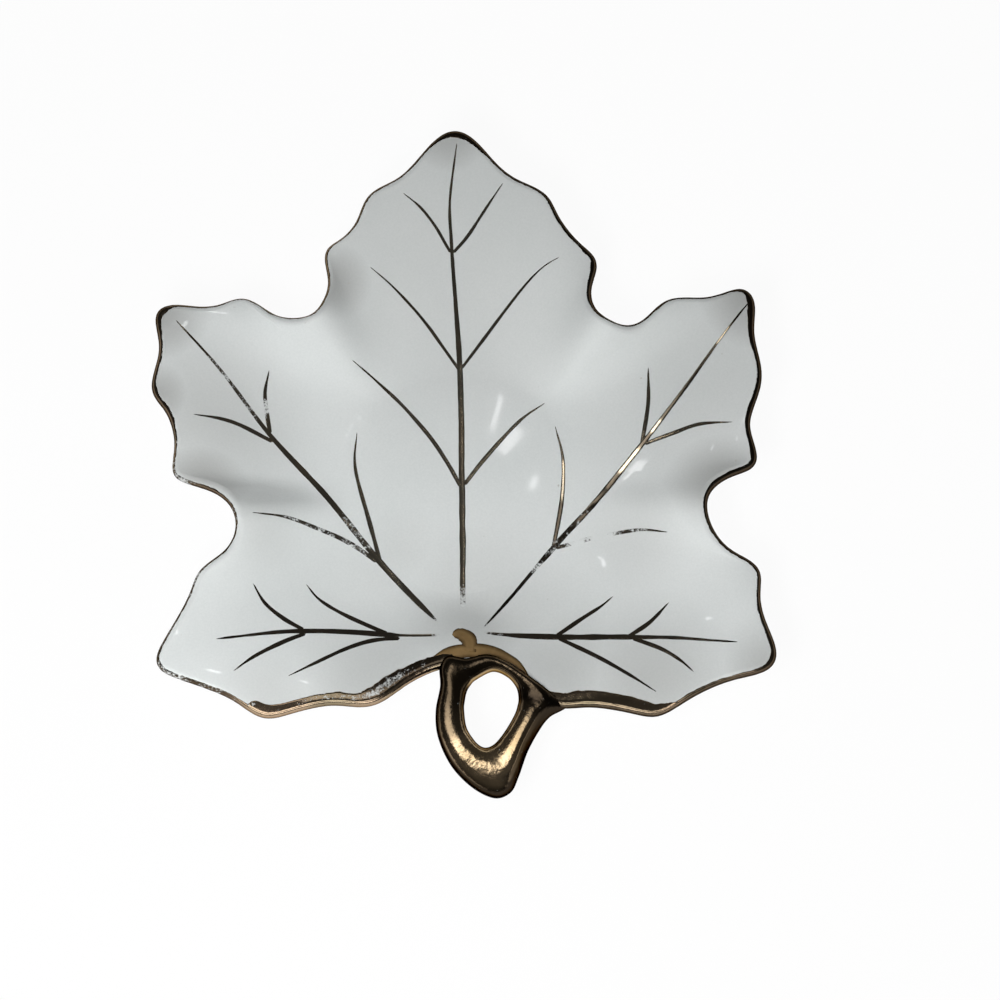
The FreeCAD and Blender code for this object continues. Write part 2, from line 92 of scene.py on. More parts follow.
def seen(pixel):
    """Place in plan where the camera sees the leaf at a pixel, or the lip's level beyond the leaf."""
    across = (pixel[0] - IMAGE / 2) * PIXEL
    upwards = (IMAGE / 2 - pixel[1]) * PIXEL
    way = camera.matrix_basis.to_3x3() @ Vector((across, upwards, -CAMERA_FAR)).normalized()
    foot = leaf.ray_cast(camera.location, way)[0]
    if foot is None:
        foot = camera.location + way * (LIP_HEIGHT - camera.location.z) / way.z
    return Vector((foot.x, foot.y, 0))


def glaze_at(plan):
    """Point of the leaf's upper face over a place in plan, or the nearest of its lip, with the normal."""
    foot, normal, _, _ = leaf.ray_cast(Vector((plan.x, plan.y, ABOVE)), DOWN)
    if foot is None:
        foot, normal, _, _ = leaf.find_nearest(Vector((plan.x, plan.y, LIP_HEIGHT)))
    return foot, normal


def on_glaze(plan, lift):
    """Point at a lift from the glaze over a place in plan."""
    foot, normal = glaze_at(plan)
    return foot + normal * lift


# Curves through points.
FINE = 24
LEAST_STEPS = 4


def smooth_line(points, closed=False):
    """Fine points on a smooth curve through the given ones."""
    if closed:
        guides = points[-1:] + points + points[:2]
    else:
        guides = [points[0] * 2 - points[1]] + points + [points[-1] * 2 - points[-2]]
    fine = []
    for a, b, c, d in zip(guides, guides[1:], guides[2:], guides[3:]):
        for number in range(FINE):
            t = number / FINE
            bend = (a * 2 - b * 5 + c * 4 - d) * t ** 2 + (b * 3 - a - c * 3 + d) * t ** 3
            fine.append((b * 2 + (c - a) * t + bend) / 2)
    fine.append(points[0] if closed else points[-1])
    return fine


def even_steps(line, step):
    """Places at even steps along a line, each with the way it runs there."""
    travelled = [0]
    for start, end in zip(line, line[1:]):
        travelled.append(travelled[-1] + (end - start).length)
    steps = max(LEAST_STEPS, round(travelled[-1] / step))
    places = []
    k = 0
    for number in range(steps + 1):
        goal = travelled[-1] * number / steps
        while k < len(line) - 2 and travelled[k + 1] < goal:
            k += 1
        share = (goal - travelled[k]) / (travelled[k + 1] - travelled[k])
        places.append((line[k].lerp(line[k + 1], share), (line[k + 1] - line[k]).normalized()))
    return places


def between(stops, place):
    """Value between stops, each a place and its value."""
    if place <= stops[0][0]:
        return stops[0][1]
    for (start, low), (end, high) in zip(stops, stops[1:]):
        if place <= end:
            share = (place - start) / (end - start)
            return low + (high - low) * share * share * (3 - 2 * share)
    return stops[-1][1]


def waver(place, seed):
    """Slow unevenness of a hand from -1 to 1."""
    return noise.noise(Vector((place, seed, 0.5 * seed)))


# Pieces: closed skins, each a grid moved to its places, that carry painted values for their materials.
PAINTS = ("worn", "dark", "edge")
GRID_HALF = 0.5
MERGE = 0.0001 * MM


def add_skin(name, steps, around, place, paint, gilding, replaced, closed=False):
    """Skin over rings of places, closed round each ring and closed at its ends or onto itself."""
    shape = bmesh.new()
    bmesh.ops.create_grid(shape, x_segments=steps, y_segments=around, size=GRID_HALF)
    layers = [shape.verts.layers.float.new(key) for key in PAINTS]
    for vertex in shape.verts:
        step = round((vertex.co.x + GRID_HALF) * steps)
        turn = round((vertex.co.y + GRID_HALF) * around) % around
        if closed:
            step %= steps
        for layer, value in zip(layers, paint(step, turn)):
            vertex[layer] = value
        vertex.co = place(step, turn)
    bmesh.ops.remove_doubles(shape, verts=shape.verts, dist=MERGE)
    bmesh.ops.recalc_face_normals(shape, faces=shape.faces)
    for face in shape.faces:
        face.smooth = True
    mesh = bpy.data.meshes.new(name)
    shape.to_mesh(mesh)
    shape.free()
    mesh.materials.append(gilding)
    piece = bpy.data.objects.new(name, mesh)
    bpy.context.collection.objects.link(piece)
    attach(piece, "root")
    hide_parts(*replaced)


# Materials. Noise runs from about its low to its high level.
NOISE_LOW, NOISE_HIGH = 0.3, 0.7


def material(name):
    made = bpy.data.materials.new(name)
    made.use_nodes = True
    return made, made.node_tree, made.node_tree.nodes["Principled BSDF"]


def add_node(tree, kind, inputs=(), **settings):
    """New node with its settings, and its inputs given as values or as sockets to link."""
    made = tree.nodes.new("ShaderNode" + kind)
    for key, value in settings.items():
        setattr(made, key, value)
    for key, value in dict(inputs).items():
        if isinstance(value, bpy.types.NodeSocket):
            tree.links.new(value, made.inputs[key])
        else:
            made.inputs[key].default_value = value
    return made


def noise_of(tree, scale, detail):
    place = add_node(tree, "TexCoord").outputs["Object"]
    return add_node(tree, "TexNoise", {"Vector": place, "Scale": scale, "Detail": detail}).outputs["Fac"]


def painted(tree, key):
    """Value painted on the vertices of a piece."""
    return add_node(tree, "Attribute", attribute_name=key).outputs["Fac"]


def maths(tree, operation, first, second):
    return add_node(tree, "Math", {0: first, 1: second}, operation=operation).outputs[0]


def spread(tree, value, low, high, to_low=0.0, to_high=1.0):
    """Value from a range brought to another range, smoothly and without going past it."""
    return add_node(tree, "MapRange", {
        "Value": value, "From Min": low, "From Max": high, "To Min": to_low, "To Max": to_high,
    }, interpolation_type="SMOOTHSTEP").outputs["Result"]


def ramp(tree, share, *stops):
    """Colour between two stops, each a place and its colour."""
    made = add_node(tree, "ValToRGB", {"Fac": share})
    for stop, (place, color) in zip(made.color_ramp.elements, stops):
        stop.position = place
        stop.color = (*color, 1)
    return made.outputs["Color"]


def mixed(tree, share, first, second):
    """Colour between two colours, each a value or a socket."""
    colors = []
    for color in (first, second):
        colors.append(color if isinstance(color, bpy.types.NodeSocket) else (*color, 1))
    return add_node(tree, "Mix", {0: share, 6: colors[0], 7: colors[1]}, data_type="RGBA").outputs[2]


def set_shader(tree, shader, **inputs):
    """Set the inputs of a shader to values, or link them to sockets."""
    for key, value in inputs.items():
        socket = shader.inputs[key.replace("_", " ").title()]
        if isinstance(value, bpy.types.NodeSocket):
            tree.links.new(value, socket)
        else:
            socket.default_value = value


def bumped(tree, height, strength, distance):
    made = add_node(tree, "Bump", {"Height": height, "Strength": strength, "Distance": distance})
    return made.outputs["Normal"]


GLAZE_PALE = (0.785, 0.812, 0.805)
GLAZE_DEEP = (0.740, 0.772, 0.765)
# Grey that the painted shade darkens the glaze towards.
GLAZE_SHADED = (0.470, 0.480, 0.470)
CLOUD_SCALE = 38
CLOUD_FROM, CLOUD_TO = 0.35, 0.65
GRAIN = (0.94, 0.945, 0.945)
NO_GRAIN = (1, 1, 1)
GRAIN_SCALE = 2600
GRAIN_FROM, GRAIN_TO = 0.25, 0.75
SPECK = (0.50, 0.50, 0.47)
SPECK_SCALE = 620
SPECK_FROM, SPECK_TO = 0.80, 0.86
RIPPLE_SCALE = 60
RIPPLE_STRENGTH = 0.1
RIPPLE_HEIGHT = 0.15 * MM
GLOSS_SCALE = 300
GLOSS_FINE, GLOSS_COARSE = 0.015, 0.035
GLAZE_IOR = 1.5

# Painted shade on the glaze: places darkened towards grey in the bays, at the tips and round the hub,
# by pixel of the photograph, each with its reach in millimetres and how dark.
PAINTED_SHADE_PLACES = (
    ((480, 612), 24, 0.47), ((650, 692), 22, 0.73), ((560, 678), 20, 0.6), ((370, 690), 22, 0.53),
    ((160, 318), 13, 1.0), ((160, 395), 10, 0.95), ((750, 300), 15, 1.0), ((450, 140), 12, 0.8),
    ((200, 482), 13, 1.0), ((335, 280), 12, 0.9), ((720, 480), 14, 0.9), ((255, 528), 12, 0.4),
    ((640, 528), 14, 0.35), ((770, 672), 13, 0.8), ((270, 710), 15, 0.5), ((400, 556), 12, 0.25),
    ((455, 250), 52, 0.42), ((690, 365), 36, 0.35), ((205, 410), 26, 0.5),
)
FLATTEN = (1, 1, 0)


def painted_shade(tree):
    """How far painted shade darkens the glaze, from 0 to 1."""
    place = add_node(tree, "TexCoord").outputs["Object"]
    plan = add_node(tree, "VectorMath", {0: place, 1: FLATTEN}, operation="MULTIPLY").outputs["Vector"]
    shade = 0.0
    for pixel, reach, strength in PAINTED_SHADE_PLACES:
        away = add_node(tree, "VectorMath", {0: plan, 1: seen(pixel)}, operation="DISTANCE")
        near = spread(tree, away.outputs["Value"], 0, reach * MM, strength, 0)
        shade = maths(tree, "MAXIMUM", near, shade)
    return shade


def glaze_color(tree):
    """Cool white glaze, faintly clouded, with painted shade in the bays, at the tips and round the hub, and
    a few pale specks of iron.
    """
    clouds = noise_of(tree, CLOUD_SCALE, detail=3)
    clouds = ramp(tree, clouds, (CLOUD_FROM, GLAZE_DEEP), (CLOUD_TO, GLAZE_PALE))
    # Painted shade: the glaze turns grey at the shaded places.
    shaded = mixed(tree, painted_shade(tree), clouds, GLAZE_SHADED)
    grain = ramp(tree, noise_of(tree, GRAIN_SCALE, detail=2), (GRAIN_FROM, GRAIN), (GRAIN_TO, NO_GRAIN))
    body = add_node(tree, "Mix", {0: 1.0, 6: shaded, 7: grain}, data_type="RGBA", blend_type="MULTIPLY")
    specks = spread(tree, noise_of(tree, SPECK_SCALE, detail=1), SPECK_FROM, SPECK_TO)
    return mixed(tree, specks, body.outputs[2], SPECK)


def dress_glaze(tree, shader):
    """Glossy glaze with a slow ripple from the kiln."""
    ripple = bumped(tree, noise_of(tree, RIPPLE_SCALE, detail=1), RIPPLE_STRENGTH, RIPPLE_HEIGHT)
    rough = noise_of(tree, GLOSS_SCALE, detail=3)
    rough = spread(tree, rough, NOISE_LOW, NOISE_HIGH, GLOSS_FINE, GLOSS_COARSE)
    set_shader(tree, shader, base_color=glaze_color(tree), roughness=rough, normal=ripple)
    shader.inputs["IOR"].default_value = GLAZE_IOR


def glaze_material():
    made, tree, shader = material("porcelain_glaze")
    dress_glaze(tree, shader)
    return made


BISQUE_DEEP = (0.55, 0.52, 0.47)
BISQUE_PALE = (0.70, 0.68, 0.63)
BISQUE_ROUGH = 0.85
BISQUE_SCALE = 3200
BISQUE_STRENGTH = 0.4
BISQUE_HEIGHT = 0.05 * MM


def bisque_material():
    """Unglazed foot: matt, warmer, with a fine ground grain."""
    made, tree, shader = material("bisque")
    grain = noise_of(tree, BISQUE_SCALE, detail=4)
    color = ramp(tree, grain, (NOISE_LOW, BISQUE_DEEP), (NOISE_HIGH, BISQUE_PALE))
    relief = bumped(tree, grain, BISQUE_STRENGTH, BISQUE_HEIGHT)
    set_shader(tree, shader, base_color=color, roughness=BISQUE_ROUGH, normal=relief)
    return made


# Near-black gold for painted shade: a dark reflection painted into the gold.
GOLD_DARK = (0.035, 0.026, 0.018)
EDGE_TINT = (0.14, 0.11, 0.085, 1)
GOLD_CLOUD_SCALE = 130
GOLD_CLOUD_FROM, GOLD_CLOUD_TO = 0.36, 0.62
GOLD_GRAIN_SCALE = 2400
GOLD_GRAIN = 0.06
RELIEF = 6.0
RELIEF_SCALE = 800
RELIEF_HEIGHT = 0.02 * MM
SCUFF_SCALE = 2600
PATCH_SCALE = 900
PATCH_SHARE = 0.8
WEAR_SHARE = 1.25
WEAR_FROM, WEAR_TO = -0.55, -0.13


def gold_material(name, darker, bright, polish, grit):
    """Fired gold, clouded and grainy, with painted shade that darkens its flanks and other places, and worn
    through to the glaze in places.
    """
    made, tree, shader = material(name)
    clouds = noise_of(tree, GOLD_CLOUD_SCALE, detail=5)
    clouds = ramp(tree, clouds, (GOLD_CLOUD_FROM, darker), (GOLD_CLOUD_TO, bright))
    # Painted shade: the painted dark value turns the gold towards near-black.
    body = mixed(tree, painted(tree, "dark"), clouds, GOLD_DARK)
    grain = noise_of(tree, GOLD_GRAIN_SCALE, detail=3)
    rough = spread(tree, grain, NOISE_LOW, NOISE_HIGH, polish, polish + GOLD_GRAIN)
    relief = maths(tree, "MULTIPLY", noise_of(tree, RELIEF_SCALE, detail=4), RELIEF)
    relief = maths(tree, "ADD", grain, relief)
    set_shader(tree, shader, base_color=body, metallic=1.0, roughness=rough, specular_tint=EDGE_TINT,
               normal=bumped(tree, relief, grit, RELIEF_HEIGHT))
    bare = add_node(tree, "BsdfPrincipled")
    dress_glaze(tree, bare)
    patches = maths(tree, "MULTIPLY", noise_of(tree, PATCH_SCALE, detail=2), PATCH_SHARE)
    scuffs = maths(tree, "ADD", noise_of(tree, SCUFF_SCALE, detail=4), patches)
    reach = maths(tree, "MULTIPLY", painted(tree, "worn"), WEAR_SHARE)
    wear = spread(tree, maths(tree, "SUBTRACT", reach, scuffs), WEAR_FROM, WEAR_TO)
    both = add_node(tree, "MixShader", {0: wear, 1: shader.outputs[0], 2: bare.outputs[0]})
    tree.links.new(both.outputs[0], tree.nodes["Material Output"].inputs["Surface"])
    return made


WASH_PALE = (0.35, 0.225, 0.095)
WASH_DEEP = (0.045, 0.026, 0.01)
POOL_SCALE = 700
POOL_SHARE = 0.35
POOL_FROM, POOL_TO = 0.4, 1.0
WASH_METAL = 0.25
WASH_ROUGH = 0.22
WASH_SCALE = 900
WASH_STRENGTH = 0.2
WASH_HEIGHT = 0.03 * MM


def wash_material():
    """Thin amber wash of gold: brown where it has pooled along its edge."""
    made, tree, shader = material("amber_wash")
    pools = maths(tree, "MULTIPLY", noise_of(tree, POOL_SCALE, detail=3), POOL_SHARE)
    pooled = maths(tree, "ADD", painted(tree, "edge"), pools)
    color = ramp(tree, pooled, (POOL_FROM, WASH_PALE), (POOL_TO, WASH_DEEP))
    relief = bumped(tree, noise_of(tree, WASH_SCALE, detail=2), WASH_STRENGTH, WASH_HEIGHT)
    set_shader(tree, shader, base_color=color, metallic=WASH_METAL, roughness=WASH_ROUGH, normal=relief)
    return made


glaze = glaze_material()
bisque = bisque_material()
stroke_gold = gold_material(
    "brushed_gold", darker=(0.36, 0.32, 0.25), bright=(0.56, 0.46, 0.33), polish=0.12, grit=0.03)
rim_gold = gold_material(
    "rim_gold", darker=(0.42, 0.34, 0.22), bright=(0.68, 0.50, 0.34), polish=0.14, grit=0.35)
handle_gold = gold_material(
    "handle_gold", darker=(0.44, 0.32, 0.18), bright=(0.74, 0.55, 0.34), polish=0.14, grit=0.6)
wash = wash_material()


def dress_ceramic():
    """Glaze for the leaf and bare clay for its foot."""
    for name, dressing in (("leaf_dish", glaze), ("foot_ring", bisque)):
        nodes[name].data.materials.clear()
        nodes[name].data.materials.append(dressing)


dress_ceramic()


# Wear: places by pixel of the photograph, each with a radius in millimetres and how far the gold has gone.
WORN = (
    ((223, 373), 5, 0.42), ((250, 405), 4, 0.38), ((265, 408), 2.5, 0.6), ((345, 525), 4, 0.34),
    ((353, 545), 4, 0.44), ((322, 530), 4, 0.45), ((290, 518), 4, 0.35),
    ((600, 537), 5, 0.75), ((577, 543), 3, 0.7), ((637, 530), 3, 0.42), ((553, 548), 3, 0.36),
    ((536, 568), 2.4, 0.46), ((463, 596), 3, 0.5), ((463, 618), 4, 0.95), ((441, 625), 2.5, 0.7),
    ((480, 632), 2.2, 0.7), ((444, 636), 3, 0.7), ((494, 633), 3, 0.42),
    ((190, 578), 7, 0.38), ((172, 640), 6, 0.3), ((175, 670), 6, 0.37), ((212, 686), 6, 0.34),
    ((237, 520), 6, 0.3), ((180, 478), 5, 0.42), ((165, 440), 6, 0.36),
)
FRESH = 0.08
WEAR_PLACES = [(seen(pixel), radius * MM, strength) for pixel, radius, strength in WORN]


def wear_at(place):
    """How far the gold has gone at a place, from slight all over to bare."""
    gone = FRESH
    for middle, radius, strength in WEAR_PLACES:
        away = middle - place
        gone = max(gone, strength * math.exp(-(away.x ** 2 + away.y ** 2) / radius ** 2))
    return gone


# Brush strokes: low ridges of gold over the glaze, in shares of their half width and lifts in millimetres.
STROKE_RING = (
    (-1, -0.04), (-0.8, 0.015), (-0.35, 0.03), (0.35, 0.03), (0.8, 0.015), (1, -0.04), (0, -0.09))
STROKE_STEP = 0.4 * MM
VEIN_WIDTH = 1.4 * MM
SIDE_WIDTH = 1.02 * MM
FINE_WIDTH = 0.76 * MM
HAIR = 0.2 * MM
WOBBLE = 0.08 * MM
WOBBLE_STEP = 8 * MM
UNEVEN = 0.14
UNEVEN_STEP = 3 * MM
UNEVEN_SEED = 40
SUNK = 0.12 * MM
SUNK_FROM, SUNK_TO = 0.62, 0.85

# Width along a stroke, as shares of its way and of its full width.
MAIN_SWELL = ((0.0, 0.8), (0.15, 1.0), (0.5, 0.95), (0.75, 0.6), (0.95, 0.35), (1.0, 0.15))
THIN_ROOT_SWELL = ((0.0, 0.45), (0.17, 0.45), (0.24, 0.95), (0.6, 0.8), (0.95, 0.4), (1.0, 0.15))
TAPER_SWELL = ((0.0, 0.2), (0.1, 0.6), (0.22, 1.0), (0.5, 0.95), (0.75, 0.6), (0.95, 0.35), (1.0, 0.15))
SLOW_SWELL = (
    (0.0, 0.2), (0.08, 0.5), (0.18, 0.6), (0.25, 0.9), (0.5, 0.95), (0.75, 0.6), (0.95, 0.35), (1.0, 0.15))
QUICK_SWELL = ((0.0, 0.3), (0.04, 0.75), (0.09, 1.0), (0.5, 0.95), (0.75, 0.6), (0.95, 0.35), (1.0, 0.15))
SIDE_SWELL = ((0.0, 0.9), (0.3, 1.0), (0.65, 0.8), (0.9, 0.4), (1.0, 0.1))

# Strokes by pixel of the photograph: each main stroke from the hub to its tip, with its swell and the side
# strokes from their roots on it to their tips.
VEINS = {
    "back_vein": (
        ((463, 607), (462, 487), (460, 372), (452, 252), (450, 200), (457, 143)), MAIN_SWELL,
        (((461, 487), (447, 462), (427, 433), (400, 403), (373, 378), (352, 360)),
         ((464, 485), (482, 462), (502, 439), (523, 418), (545, 403)),
         ((459, 370), (438, 340), (427, 325), (412, 307), (392, 286), (370, 267)),
         ((461, 369), (483, 340), (507, 308), (527, 283), (543, 267), (559, 257)),
         ((451, 253), (445, 243), (435, 226), (420, 207), (403, 193)),
         ((453, 253), (467, 237), (483, 213), (503, 183)))),
    "upper_left_vein": (
        ((438, 622), (380, 562), (327, 497), (270, 435), (223, 373), (176, 320)), QUICK_SWELL,
        (((377, 562), (353, 545), (327, 532), (290, 518), (252, 512)),
         ((380, 561), (367, 513), (355, 467), (357, 432)),
         ((273, 442), (233, 422), (193, 414)), ((270, 434), (265, 397), (269, 370)))),
    "upper_right_vein": (
        ((482, 629), (553, 548), (597, 500), (643, 443), (687, 385), (723, 335), (749, 302)), SLOW_SWELL,
        (((553, 548), (562, 500), (563, 460), (555, 426)),
         ((555, 548), (575, 543), (597, 537), (637, 530), (668, 532)),
         ((642, 444), (648, 403), (648, 367)), ((644, 444), (673, 433), (700, 424), (733, 422)))),
    "lower_left_vein": (
        ((440, 635), (392, 635), (350, 632), (305, 631), (267, 633), (216, 639)), THIN_ROOT_SWELL,
        (((400, 638), (375, 640), (350, 647), (317, 662), (288, 676)),
         ((388, 634), (347, 616), (320, 600), (306, 584)),
         ((306, 633), (283, 642), (253, 657), (233, 671)),
         ((304, 630), (283, 618), (265, 603), (253, 583)))),
    "lower_right_vein": (
        ((476, 632), (524, 636), (558, 637), (600, 637), (630, 637), (680, 638), (738, 642)), TAPER_SWELL,
        (((556, 636), (580, 620), (600, 607), (613, 596)),
         ((558, 638), (600, 658), (630, 675), (657, 692)),
         ((628, 637), (650, 622), (669, 602)), ((632, 638), (660, 648), (680, 660), (694, 672)))),
}


# Places where strokes gleam under lamps of their own, by pixel, each with its reach in millimetres.
# Elsewhere those strokes get painted shade, which darkens their gold. The lower strokes are darker, but for
# the bright root of the left one.
GLEAMS = {
    "upper_right_vein": (((632, 462), 2.4), ((656, 426), 1.2), ((723, 335), 1.6)),
    "upper_right_vein_side_1": (((563, 480), 3.0),),
}
BRIGHT = {**GLEAMS, "lower_left_vein": (((422, 635), 3.6),)}
GLEAM_SHADE = 0.88
GLEAM_FADE = 1.5
LOWER_DARKER = 0.5
LOWER = "lower"


def darkening_at(node, place):
    """How far a stroke's gold is darkened at a place: painted shade on the gleaming strokes away from their
    gleams, and darker lower strokes.
    """
    most = LOWER_DARKER if node.startswith(LOWER) else 0.0
    if node in GLEAMS:
        most = GLEAM_SHADE
    darker = most
    for pixel, reach in BRIGHT.get(node, ()):
        away = (seen(pixel) - place).length
        darker = min(darker, between(((reach * MM, 0), (reach * GLEAM_FADE * MM, most)), away))
    return darker


def add_stroke(node, pixels, width, swell, seed, gilding=None):
    """Brush stroke that swells along its way, ends in a hair, and sinks into the glaze where it is bare."""
    places = even_steps(smooth_line([seen(pixel) for pixel in pixels]), STROKE_STEP)
    last = len(places) - 1
    middles, asides, halves, wears, darkenings = [], [], [], [], []
    for step, (foot, along) in enumerate(places):
        aside = Vector((-along.y, along.x, 0))
        middles.append(foot + aside * WOBBLE * waver(step * STROKE_STEP / WOBBLE_STEP, seed))
        asides.append(aside)
        body = max(HAIR, width * between(swell, step / last))
        uneven = 1 + UNEVEN * waver(step * STROKE_STEP / UNEVEN_STEP, seed + UNEVEN_SEED)
        halves.append(0 if step in (0, last) else body / 2 * uneven)
        wears.append(FRESH if gilding else wear_at(foot))
        # Painted shade on the gleaming strokes away from their gleams; the lower strokes plainly darker.
        darkenings.append(darkening_at(node, foot))

    def place(step, turn):
        across, lift = STROKE_RING[turn]
        half = halves[step]
        sunk = SUNK * between(((SUNK_FROM, 0), (SUNK_TO, 1)), wears[step])
        height = lift * MM * min(1, 2 * half / SIDE_WIDTH) - sunk
        return on_glaze(middles[step] + asides[step] * half * across, height)

    def paint(step, turn):
        return wears[step], darkenings[step], abs(STROKE_RING[turn][0])

    add_skin(node + "_stroke", last, len(STROKE_RING), place, paint, gilding or stroke_gold, (node,))


FINE_SIDES = ("back_vein_side_3", "back_vein_side_4", "back_vein_side_5", "back_vein_side_6")
VEIN_SEEDS = 10


def add_veins():
    for number, (node, (main, swell, sides)) in enumerate(VEINS.items()):
        add_stroke(node, main, VEIN_WIDTH, swell, VEIN_SEEDS * number)
        for side, pixels in enumerate(sides, start=1):
            name = f"{node}_side_{side}"
            width = FINE_WIDTH if name in FINE_SIDES else SIDE_WIDTH
            add_stroke(name, pixels, width, SIDE_SWELL, VEIN_SEEDS * number + side)


add_veins()


# Rim: the outer edge of the leaf is found by shooting down along spokes, then followed in even steps.
SPOKES = 2160
INSIDE, OUTSIDE = 25 * MM, 85 * MM
HALVINGS = 18
RIM_STEP = 0.4 * MM
HANDLE_DIRECTION = -90
NEIGHBOURS = (-2, -1, 0, 1, 2)


def edge_on_spoke(degrees):
    """Place in plan where the leaf ends in a direction."""
    way = Vector((math.cos(math.radians(degrees)), math.sin(math.radians(degrees)), 0))
    near, far = INSIDE, OUTSIDE
    for _ in range(HALVINGS):
        middle = (near + far) / 2
        hit = leaf.ray_cast(way * middle + Vector((0, 0, ABOVE)), DOWN)[0]
        near, far = (near, middle) if hit is None else (middle, far)
    return way * near


def lip_stations():
    """Stations along the lip: direction, middle, normal, and the way outwards."""
    edge = [edge_on_spoke(HANDLE_DIRECTION + 360 * number / SPOKES) for number in range(SPOKES + 1)]
    rough = []
    for place, along in even_steps(edge, RIM_STEP):
        inwards = Vector((-along.y, along.x, 0))
        rough.append((place, inwards))
    smooth = []
    count = len(rough) - 1
    for number in range(count):
        near = [rough[(number + k) % count] for k in NEIGHBOURS]
        place = sum((foot for foot, _ in near), Vector()) / len(near)
        inwards = sum((way for _, way in near), Vector()).normalized()
        top, normal = glaze_at(place + inwards * LIP)
        outwards = (-inwards - normal * normal.dot(-inwards)).normalized()
        degrees = math.degrees(math.atan2(place.y, place.x))
        degrees += 360 if degrees < HANDLE_DIRECTION else 0
        smooth.append((degrees, top - normal * LIP, normal, outwards))
    return smooth


lip = lip_stations()
LIP_LIFT = 0.06 * MM
UNDER_LIP = 2.8 * MM


def on_lip(station, reach, lift):
    """Place at a reach from the top of the lip: outwards round the lip, or inwards over the glaze."""
    _, middle, normal, outwards = station
    if reach < 0:
        return on_glaze(middle + Vector((outwards.x, outwards.y, 0)) * reach, lift)
    angle = reach / LIP
    way = normal * math.cos(angle) + outwards * math.sin(angle)
    foot, face, _, _ = leaf.find_nearest(middle + way * LIP)
    return foot + face * lift


# Rim line by direction in degrees: the reach of its upper edge from the top of the lip in millimetres, how
# much painted shade darkens it, and the painted shade under the lip, where its gold would mirror the pale
# floor, which begins between two shares of the way across it.
RIM_REACH = (
    (-84, 0.1), (-46, 0.2), (-36, 0.35), (-31, -0.1), (-20, 0.3), (-8, 0.25), (0, 0.15), (4, -0.1),
    (20, 0.1), (31, -0.5), (36, 0.6), (45, 0.6), (52, 0.2), (58, 0.0), (66, 0.1), (76, 0.3), (84, 0.3),
    (90.5, -0.7), (97, 0.5), (118, 0.55), (126, 0.65), (140, 0.8), (148, 0.5), (150.5, -0.5), (156, 0.2),
    (168, 0.15), (178, 0.6), (190, 0.7), (206, 0.65), (215, 0.5), (232, 0.3), (262, 0.2),
)
RIM_DARK = (
    (-84, 0.1), (-50, 0.3), (-40, 0.75), (-10, 0.95), (31, 0.95), (45, 0.9), (60, 0.95), (90, 0.9),
    (120, 0.6), (150, 0.75), (178, 0.65), (192, 0.8), (224, 0.85), (229, 0.1), (270, 0.1),
)
RIM_UNDER = ((-84, 0.92), (200, 0.9), (225, 0.85), (230, 0.4), (258, 0.4), (264, 0.15), (270, 0.15))
UNDER_SHARES = ((0.2, 0.0), (0.38, 1.0))
RIM_FROM, RIM_TO = -84, 269
RIM_ACROSS = 9
RIM_UNEVEN = 0.16 * MM
RIM_UNEVEN_STEP = 2.2 * MM
RIM_SEED = 70


def add_lip_film(name, node, start, end, upper, lower, paint_at):
    """Film along the lip between two directions, from its uneven upper edge to its lower edge."""
    stretch = [station for station in lip if start <= station[0] <= end]
    last = len(stretch) - 1
    shares = [number / (RIM_ACROSS - 1) for number in range(RIM_ACROSS)]

    def place(step, turn):
        station = stretch[step]
        top = upper(station[0], step)
        if step in (0, last) or turn == RIM_ACROSS:
            return on_lip(station, (top + lower) / 2, -LIP_LIFT)
        lift = -LIP_LIFT if turn in (0, RIM_ACROSS - 1) else LIP_LIFT
        return on_lip(station, top + (lower - top) * shares[turn], lift)

    def paint(step, turn):
        share = shares[min(turn, RIM_ACROSS - 1)]
        return paint_at(stretch[step], share)

    add_skin(name, last, RIM_ACROSS + 1, place, paint, rim_gold, (node,))


def add_rim_line():
    def upper(degrees, step):
        uneven = RIM_UNEVEN * waver(step * RIM_STEP / RIM_UNEVEN_STEP, RIM_SEED)
        return between(RIM_REACH, degrees) * MM + uneven

    def paint_at(station, share):
        degrees, middle, _, _ = station
        under = between(RIM_UNDER, degrees) * between(UNDER_SHARES, share)
        # Painted shade: the darker of the rim's shade by direction and the shade under the lip.
        return wear_at(middle), max(between(RIM_DARK, degrees), under), abs(2 * share - 1)

    add_lip_film("rim_line_gilding", "rim_line", RIM_FROM, RIM_TO, upper, UNDER_LIP, paint_at)


add_rim_line()


# Front bands: broad brushed bands beside the lip, by direction in degrees: the reach of their inner edge
# from the top of the lip in millimetres, how far the gold has gone, and how much painted shade darkens it.
# Edges wear less.
RIGHT_BAND = (
    (-84, -1.0), (-72, -1.2), (-67, -1.5), (-62.5, -2.0), (-55.5, -1.65), (-51, -0.7), (-49, -0.1),
    (-47, 0.6),
)
LEFT_BAND = (
    (228, 0.7), (230, -1.0), (235.6, -0.7), (240, -1.1), (246, -1.1), (250, -2.2), (254, -2.4), (259, -1.8),
    (263, -1.6), (269, -1.2),
)
RIGHT_WEAR = ((-84, FRESH), (-47, FRESH))
LEFT_WEAR = (
    (228, 0.4), (232, 0.15), (240, 0.3), (246, 0.36), (250, 0.46), (256, 0.4), (260, 0.24), (264, FRESH))
RIGHT_DARK = ((-84, 0.35), (-47, 0.35))
LEFT_DARK = ((228, 0.1), (244, 0.1), (250, 0.5), (254, 0.75), (260, 0.8), (269, 0.75))
KEPT_EDGE = ((0.0, 0.3), (0.2, 0.5), (0.35, 1.0), (0.6, 1.0), (0.75, 0.35), (1.0, 0.3))
BAND_LAP = 0.9 * MM
RIGHT_SEED, LEFT_SEED = 90, 100


